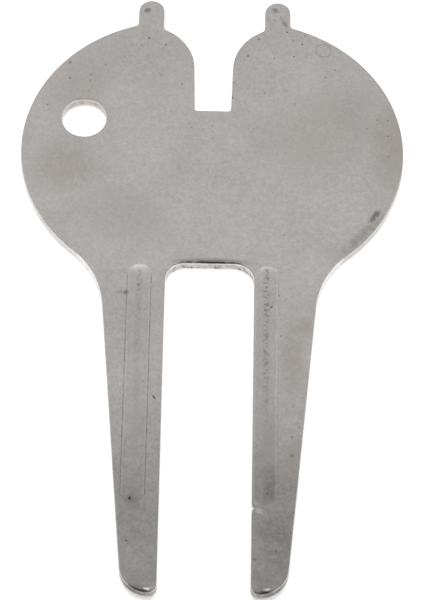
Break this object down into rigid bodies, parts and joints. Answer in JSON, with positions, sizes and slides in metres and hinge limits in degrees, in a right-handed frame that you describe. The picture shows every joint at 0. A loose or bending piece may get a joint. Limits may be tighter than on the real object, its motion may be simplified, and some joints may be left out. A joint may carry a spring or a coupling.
{
  "type": "divot repair tool",
  "caption": "Flat stamped steel golf divot tool: oval head with wrench pins, a slot and a key-ring hole, and long beaded prongs.",
  "frame": {"origin": "middle of the tool's footprint, level with the lowest points of the ribs on the front face, with the tool lying on its front face", "axes": "+Z is the back face's normal, the face the beads are pressed into; +Y runs from the prong tips to the wrench pins; +X is across the tool, away from the key-ring hole"},
  "size_m": [0.0442, 0.0778, 0.0025],
  "materials": {
    "plated_steel": "nickel plating over tumbled sheet steel, satin, lightly tarnished and scuffed"
  },
  "bodies": {
    "root": {"tool_plate": "plated_steel"}
  },
  "joints": []
}
